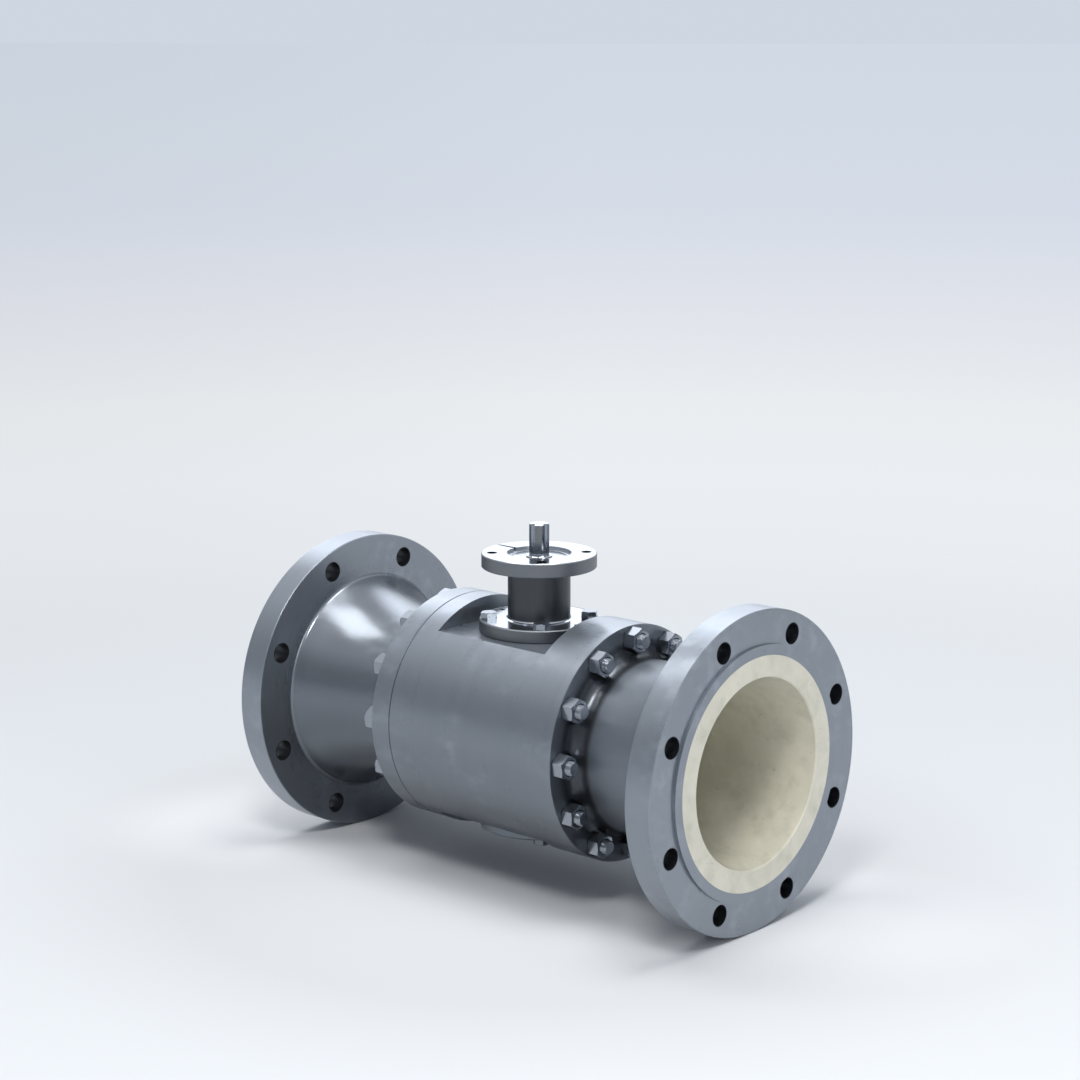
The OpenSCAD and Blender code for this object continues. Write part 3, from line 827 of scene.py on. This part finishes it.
@dataclass
class Finishes:
    """The materials of the valve, one of each kind."""

    axis_height: float
    made: Dict[str, bpy.types.Material] = field(default_factory=dict)

    def body_zones(self) -> Tuple[Zone, ...]:
        """Parts of the body castings that take painted shade or other roughness: places are along the pipe."""
        neck = (90.0 * MM, 134.0 * MM)
        # Painted shade: the fillets between collars and necks, and the collar faces under the nuts, are painted
        # darker where shade falls between the nuts.
        fillets = Zone((132.0 * MM, 147.0 * MM), (88.0 * MM, 107.0 * MM), 0.34, both_ends=True, edge=8.0 * MM)
        collar_faces = Zone((129.6 * MM, 130.3 * MM), (96.0 * MM, 126.5 * MM), 0.70, both_ends=True)
        # Painted shade: the inlet neck is painted 24% darker; the outlet neck keeps its colour and is only
        # roughened.
        inlet_neck = Zone((-262.0 * MM, -150.0 * MM), neck, 0.76, -0.08, edge=4.0 * MM)
        outlet_neck = Zone((150.0 * MM, 262.0 * MM), neck, 1.0, 0.06, edge=4.0 * MM)
        groove = Zone((-104.5 * MM, -103.5 * MM), (120.0 * MM, 129.0 * MM), 0.3)
        return fillets, collar_faces, inlet_neck, outlet_neck, groove

    def bonnet_zones(self) -> Tuple[Zone, ...]:
        """Parts of the bonnet and stem that take painted reflection and other roughness: places are heights over
        the floor.
        """
        def at(low: float, high: float) -> Tuple[float, float]:
            """Heights over the floor of two heights over the pipe axis in millimetres."""
            return self.axis_height + low * MM, self.axis_height + high * MM

        rim = (61.8 * MM, 66.0 * MM)
        # Painted reflection: the polished tube, both flange rims, the recess wall and the stem's sides are
        # painted darker, standing for the dark surroundings that they reflect.
        tube = Zone(at(118.0, 172.4), (0.0, 35.0 * MM), 0.15, 0.22)
        lower_rim = Zone(at(100.0, 117.4), rim, 0.30, 0.25)
        upper_rim = Zone(at(171.0, 187.5), rim, 0.37, 0.25)
        recess = Zone(at(183.0, 187.8), (30.0 * MM, 36.5 * MM), 0.83, 0.3)
        stem_sides = Zone(at(188.5, 219.4), (10.2 * MM, 13.0 * MM), 0.355)
        return tube, lower_rim, upper_rim, recess, stem_sides

    def build(self) -> "Finishes":
        """Makes every material.

        Returns:
            The object itself.
        """
        height = self.axis_height
        # Painted shade inside the bolt holes of the pipe flanges and the actuator flange.
        flange_bores = HoleRing(8, 147.8 * MM, 11.0 * MM, 0.15)
        actuator_bores = HoleRing(4, 51.0 * MM, 5.5 * MM, 0.2, 0.2 * MM)
        finishes = [
            TurnedSteel("body_steel", (0.268, 0.296, 0.333), 0.29, Turning.PIPE, height,
                        mark_depth=0.0006 * MM, speckle=0.0007 * MM, metallic=0.74, smudge=0.35, underside_shade=0.62,
                        zones=self.body_zones(), holes=(flange_bores,)),
            # Painted shade: a darker copy of the body steel, worn by the bottom cover and its bolts under the
            # valve.
            TurnedSteel("shaded_cover_steel", (0.17, 0.19, 0.215), 0.34, Turning.STEM, height, metallic=0.74),
            TurnedSteel("polished_steel", (0.54, 0.575, 0.625), 0.17, Turning.STEM, height,
                        mark_width=0.8 * MM, mark_depth=0.0008 * MM, blotch=0.05, speckle=0.0006 * MM,
                        zones=self.bonnet_zones(), holes=(actuator_bores,)),
            TurnedSteel("bolt_steel", (0.30, 0.325, 0.36), 0.24, Turning.PIPE, height, metallic=0.96,
                        mark_width=0.7 * MM, mark_depth=0.002 * MM, blotch=0.12),
            TurnedSteel("inner_steel", (0.50, 0.51, 0.52), 0.28, Turning.PIPE, height),
            TurnedSteel("bearing_bronze", (0.58, 0.42, 0.20), 0.30, Turning.STEM, height),
            TurnedSteel("collar_steel", (0.78, 0.78, 0.79), 0.12, Turning.STEM, height,
                        mark_width=0.6 * MM, mark_depth=0.003 * MM, blotch=0.03, speckle=0.003 * MM),
            GroundCeramic("ceramic", (0.735, 0.695, 0.57), 0.34),
            SealRubber("seal_black"),
        ]
        for finish in finishes:
            self.made[finish.name] = finish.material()
        return self

    def dress(self, node: str, finish: str) -> None:
        """Gives a CAD node one of the finishes."""
        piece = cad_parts[node]
        piece.data.materials.clear()
        piece.data.materials.append(self.made[finish])
        LOG.info("%s wears %s", node, finish)


@dataclass
class Casing:
    """Barrel, end pieces and bottom cover."""

    finishes: Finishes
    steel_nodes: Tuple[str, ...] = ("main_body", "outlet_end", "inlet_end")

    def build(self) -> None:
        """Dresses the steel body."""
        for node in self.steel_nodes:
            self.finishes.dress(node, "body_steel")
        # The bottom cover takes the painted-shade copy of the body steel.
        self.finishes.dress("bottom_cover", "shaded_cover_steel")


@dataclass
class Lining:
    """Ceramic funnels, sleeve, seats and what carries the seats."""

    finishes: Finishes
    ceramic_nodes: Tuple[str, ...] = ("outlet_liner", "inlet_liner", "body_liner", "outlet_seat", "inlet_seat")
    steel_nodes: Tuple[str, ...] = ("outlet_carrier", "inlet_carrier", "seat_springs")
    seal_nodes: Tuple[str, ...] = ("seat_seals", "body_gaskets")

    def build(self) -> None:
        """Dresses the lining and the seat parts."""
        for node in self.ceramic_nodes:
            self.finishes.dress(node, "ceramic")
        for node in self.steel_nodes:
            self.finishes.dress(node, "inner_steel")
        for node in self.seal_nodes:
            self.finishes.dress(node, "seal_black")


@dataclass
class TieStuds:
    """Studs and nuts of the two end pieces."""

    finishes: Finishes
    ring: Network
    fastener: Fastener
    axis_height: float
    stud_radius: float = 8.0 * MM
    circle_radius: float = 113.0 * MM
    copies: int = 12
    flats: float = 24.0 * MM
    pitch: float = 2.0 * MM
    chamfer: float = 1.5 * MM
    fit_gap: float = 0.1 * MM
    turns_in_nut: float = 1.5
    stud_spread: float = math.radians(9.0)
    nut_spread: float = math.radians(1.0)
    odd_nut: float = math.radians(30.0)

    def build(self) -> None:
        """Makes the studs and nuts of both ends."""
        for side, way in (("outlet", 1.0), ("inlet", -1.0)):
            self.studs(side, way)
            self.nuts(side, way)

    def along_pipe(self, mesh: bpy.types.Mesh, way: float) -> bpy.types.Mesh:
        """Lays a shape made along Z on to the pipe axis, towards the outlet or the inlet."""
        mesh.transform(Matrix.Rotation(math.radians(90.0), 4, "Y"))
        if way < 0.0:
            mesh.transform(Matrix.Scale(-1.0, 4, Vector((1.0, 0.0, 0.0))))
            mesh.flip_normals()
        return mesh

    def scatter(self, piece: bpy.types.Object, odd: float, spread: float) -> bpy.types.Object:
        """Sets copies of a fastener round the pipe axis."""
        return self.ring.apply(piece, {
            "Copies": self.copies, "Circle radius": self.circle_radius,
            "Circle turn": (math.pi, -0.5 * math.pi, 0.0), "Circle centre": (0.0, 0.0, self.axis_height),
            "Copy axis": (1.0, 0.0, 0.0), "First angle": 0.0, "Odd angle": odd, "Spread": spread,
            "Finish": self.finishes.made["bolt_steel"]})

    def finish(self, piece: bpy.types.Object, node: str) -> None:
        """Hands a ring of fasteners to the body in place of its CAD node."""
        Build.soften(piece)
        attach(piece, "body")
        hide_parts(node)
        LOG.info("%s stands for %s", piece.name, node)

    def studs(self, side: str, way: float) -> None:
        """Threaded studs of one end."""
        node = f"{side}_studs"
        low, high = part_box(node)
        start, end = sorted((abs(low.x), abs(high.x)))
        nut_low, nut_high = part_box(f"{side}_nuts")
        nut_out = max(abs(nut_low.x), abs(nut_high.x))
        mesh = self.fastener.rod(self.stud_radius, start, end, self.pitch,
                                 (nut_out - self.turns_in_nut * self.pitch, end), self.chamfer)
        piece = Build.piece(f"{side}_threaded_studs", self.along_pipe(mesh, way))
        self.scatter(piece, 0.0, self.stud_spread)
        self.finish(piece, node)

    def nuts(self, side: str, way: float) -> None:
        """Hexagon nuts of one end."""
        node = f"{side}_nuts"
        low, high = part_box(node)
        start, end = sorted((abs(low.x), abs(high.x)))
        mesh = self.fastener.nut(self.flats, start, end, self.stud_radius + self.fit_gap)
        piece = Build.piece(f"{side}_hexagon_nuts", self.along_pipe(mesh, way))
        self.scatter(piece, self.odd_nut, self.nut_spread)
        self.finish(piece, node)


@dataclass
class Head:
    """Bonnet, bottom cover bolts, stem bearings and packing."""

    finishes: Finishes
    polished_nodes: Tuple[str, ...] = ("bonnet", "trunnion_pin", "gland_ring")
    bronze_nodes: Tuple[str, ...] = ("lower_bush", "thrust_washer", "bottom_washer")
    seal_nodes: Tuple[str, ...] = ("bonnet_gasket", "bottom_gasket", "packing_rings")

    def build(self) -> None:
        """Dresses everything on the stem axis that stays still."""
        for node in self.polished_nodes:
            self.finishes.dress(node, "polished_steel")
        for node in self.bronze_nodes:
            self.finishes.dress(node, "bearing_bronze")
        for node in self.seal_nodes:
            self.finishes.dress(node, "seal_black")
        self.finishes.dress("packing_springs", "inner_steel")
        self.finishes.dress("top_bush", "collar_steel")
        self.finishes.dress("bonnet_bolts", "bolt_steel")
        # The bottom bolts take the painted-shade copy of the body steel too.
        self.finishes.dress("bottom_bolts", "shaded_cover_steel")


@dataclass
class Rotor:
    """Stem, ball and ball bush, which turn together."""

    finishes: Finishes

    def build(self) -> None:
        """Dresses the turning parts."""
        self.finishes.dress("stem", "polished_steel")
        self.finishes.dress("ball", "ceramic")
        self.finishes.dress("trunnion_bush", "bearing_bronze")


@dataclass(frozen=True)
class SoftBox:
    """A square area light that looks at the valve."""

    name: str
    place: Tuple[float, float, float]
    side: float
    power: float
    colour: Colour = (1.0, 0.995, 0.985)

    def hang(self, aim: Vector) -> None:
        """Hangs the light.

        Args:
            aim: The point that it looks at.
        """
        data = bpy.data.lights.new(self.name, "AREA")
        data.shape = "RECTANGLE"
        data.size = data.size_y = self.side
        data.energy = self.power
        data.color = self.colour
        made = bpy.data.objects.new(self.name, data)
        bpy.context.scene.collection.objects.link(made)
        made.location = self.place
        made.rotation_euler = (Vector(self.place) - aim).to_track_quat("Z", "Y").to_euler()


@dataclass
class Studio:
    """Floor, lights, world and camera."""

    axis_height: float
    azimuth: float = 42.05
    elevation: float = 11.537
    roll: float = 0.063
    distance: float = 2679.971 * MM
    target_x: float = 1.126 * MM
    target_over_axis: float = 201.652 * MM
    focal_pixels: float = 2487.937
    frame_pixels: float = 1080.0
    sensor: float = 36.0
    band_height: float = math.radians(24.0)
    band_gain: float = 3.6
    painted_light_reach: float = 350.0 * MM
    painted_light_slope: float = 0.22
    painted_light_paper: Colour = (0.80, 0.805, 0.81)
    floor_reach: float = 400.0
    floor_roughness: float = 0.8
    floor_specular: float = 0.2
    near_distance: float = 2.0
    clip_end: float = 200.0

    SIDEWAYS: ClassVar[Tuple[float, float, float, float]] = (-0.25, 0.25, 0.94, 1.05)
    PAINTED_LIGHT_RANGE: ClassVar[Tuple[float, float]] = (0.03, 0.23)
    DRAWN_RANGE: ClassVar[Tuple[float, float]] = (0.45, 0.60)
    BAND_WIDTH: ClassVar[Tuple[float, float]] = (0.78, 0.95)
    BAND_FOOT: ClassVar[Tuple[float, float]] = (0.03, 0.11)
    LAMPS: ClassVar[Tuple[SoftBox, ...]] = (
        SoftBox("top", (0.40, 0.10, 3.0), 1.1, 31.0),
        SoftBox("key", (-0.84, -0.66, 3.0), 1.3, 25.0),
        SoftBox("fill", (1.0, -1.5, 2.45), 0.6, 27.0),
        SoftBox("wing", (2.8, -0.5, 0.9), 0.8, 10.0))
    # Floor colour by nearness to the camera: painted greyer near the valve, where the lamps light it most, most
    # of all about 0.4 m from the stem, and paler far away.
    PAPER: ClassVar[Stops] = (
        (0.0, (0.80, 0.81, 0.815)), (0.50, (0.80, 0.81, 0.815)), (0.62, (0.70, 0.71, 0.715)),
        (0.662, (0.63, 0.635, 0.64)), (0.70, (0.68, 0.685, 0.69)), (1.0, (0.69, 0.695, 0.70)))
    BACKDROP: ClassVar[Stops] = (
        (0.0, (0.631, 0.694, 0.775)), (0.148, (0.665, 0.716, 0.799)), (0.235, (0.745, 0.768, 0.831)),
        (0.32, (0.815, 0.847, 0.871)), (0.39, (0.831, 0.863, 0.896)), (0.50, (0.800, 0.832, 0.867)))
    SKY: ClassVar[Stops] = (
        (0.0, (0.62, 0.675, 0.755)), (0.014, (0.62, 0.675, 0.755)), (0.08, (0.34, 0.36, 0.40)),
        (0.35, (0.36, 0.38, 0.41)), (0.66, (0.80, 0.82, 0.86)), (1.0, (0.80, 0.82, 0.86)))
    SOFT_LIGHT: ClassVar[Stops] = (
        (0.0, (0.07, 0.08, 0.10)), (0.25, (0.14, 0.16, 0.195)), (0.6, (0.42, 0.46, 0.53)),
        (1.0, (0.60, 0.66, 0.75)))

    def build(self) -> None:
        """Builds the stage."""
        self.camera()
        self.floor()
        self.world()
        self.lights()

    def back(self) -> Vector:
        """Direction from the target to the camera."""
        a = math.radians(self.azimuth)
        e = math.radians(self.elevation)
        return Vector((math.sin(a) * math.cos(e), -math.cos(a) * math.cos(e), math.sin(e)))

    def camera(self) -> None:
        """Sets the camera at the viewing angle of the reference."""
        data = bpy.data.cameras.new("camera")
        data.sensor_width = self.sensor
        data.sensor_fit = "HORIZONTAL"
        data.lens = self.sensor * self.focal_pixels / self.frame_pixels
        data.clip_end = self.clip_end
        made = bpy.data.objects.new("camera", data)
        bpy.context.scene.collection.objects.link(made)
        back = self.back()
        target = Vector((self.target_x, 0.0, self.axis_height + self.target_over_axis))
        turn = back.to_track_quat("Z", "Y").to_matrix().to_4x4()
        made.matrix_world = (Matrix.Translation(target + self.distance * back) @ turn
                             @ Matrix.Rotation(math.radians(self.roll), 4, "Z"))
        bpy.context.scene.camera = made

    def floor(self) -> None:
        """Lays a pale floor that takes the shadow, with painted light and painted shade in its colour, and fades
        into a plain, bluer background.
        """
        mesh = bpy.data.meshes.new("floor")
        corners = ((-1.0, -1.0), (1.0, -1.0), (1.0, 1.0), (-1.0, 1.0))
        mesh.from_pydata([(self.floor_reach * x, self.floor_reach * y, 0.0) for x, y in corners],
                         [], [(0, 1, 2, 3)])
        piece = Build.piece("floor", mesh)
        shader = Shader.named("studio_paper")
        x, y, _ = shader.split(shader.place())
        reach = (x * x + y * y).root() + self.foot()
        nearness = self.near_distance / reach
        # Painted shade and light: floor and drawn backdrop are up to 6% darker on the left of the picture, the
        # key lamp's side, and up to 5% lighter on the right.
        sideways_shade = (shader.dot(shader.place(), self.right()) / reach).ramp(*self.SIDEWAYS)
        paper = shader.colours(nearness, self.PAPER)
        backdrop = shader.colours(nearness, self.BACKDROP)
        # Painted light: the paper is painted lighter round both flange ends, where the lamps' soft shadow falls
        # beside the valve, so that shadow fades there.
        beside, across = x.size() - self.painted_light_reach, y - self.painted_light_slope * x
        ends = (beside * beside + across * across).root().ramp(*self.PAINTED_LIGHT_RANGE, 1.0, 0.0)
        paper = shader.mix(paper, self.painted_light_paper, ends)
        lit = shader.node("ShaderNodeBsdfPrincipled", None, {
            "Base Color": shader.mix(BLACK, paper, sideways_shade), "Roughness": self.floor_roughness,
            "Specular IOR Level": self.floor_specular})
        drawn = shader.node("ShaderNodeEmission", None, {"Color": shader.mix(BLACK, backdrop, sideways_shade)})
        far = nearness.ramp(*self.DRAWN_RANGE, 1.0, 0.0) * shader.seen()
        shader.finish(shader.node("ShaderNodeMixShader", None, {0: far, 1: lit, 2: drawn}),
                      "ShaderNodeOutputMaterial")
        piece.data.materials.append(shader.owner)

    def world(self) -> None:
        """Soft dome of light, and behind the valve a bright band that only the camera and shiny faces see."""
        world = bpy.data.worlds.new("studio")
        bpy.context.scene.world = world
        shader = Shader(world)
        way = shader.node("ShaderNodeTexCoord", None, None, "Generated")
        height = shader.split(way)[2]
        behind = self.away() * math.cos(self.band_height) + Vector((0.0, 0.0, math.sin(self.band_height)))
        band = shader.dot(way, behind).ramp(*self.BAND_WIDTH) * height.ramp(*self.BAND_FOOT)
        seen = shader.seen()
        colour = shader.mix(shader.colours(height, self.SOFT_LIGHT), shader.colours(height, self.SKY), seen)
        lit = shader.node("ShaderNodeBackground", None,
                          {"Color": colour, "Strength": 1.0 + self.band_gain * (band * seen)})
        shader.finish(lit, "ShaderNodeOutputWorld")

    def away(self) -> Vector:
        """Level direction away from the camera."""
        direction = -self.back()
        return Vector((direction.x, direction.y, 0.0)).normalized()

    def foot(self) -> float:
        """Level distance from the camera to the stem axis."""
        return self.distance * math.cos(math.radians(self.elevation))

    def right(self) -> Vector:
        """Level direction to the right of the picture."""
        return Vector((0.0, 0.0, 1.0)).cross(self.back()).normalized()

    def lights(self) -> None:
        """Hangs the soft boxes."""
        aim = Vector((0.0, 0.0, self.axis_height))
        for box in self.LAMPS:
            box.hang(aim)


def main() -> None:
    """Builds the valve's looks and the studio in order."""
    logging.basicConfig(level=logging.INFO)
    bpy.context.scene.view_settings.view_transform = "Standard"
    flange_low, flange_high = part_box("outlet_end")
    axis_height = 0.5 * (flange_low.z + flange_high.z)
    finishes = Finishes(axis_height).build()
    ring = ring_network()
    fastener = Fastener()
    Studio(axis_height).build()
    Casing(finishes).build()
    Lining(finishes).build()
    TieStuds(finishes, ring, fastener, axis_height).build()
    Head(finishes).build()
    Rotor(finishes).build()


if __name__ == "__main__":
    main()
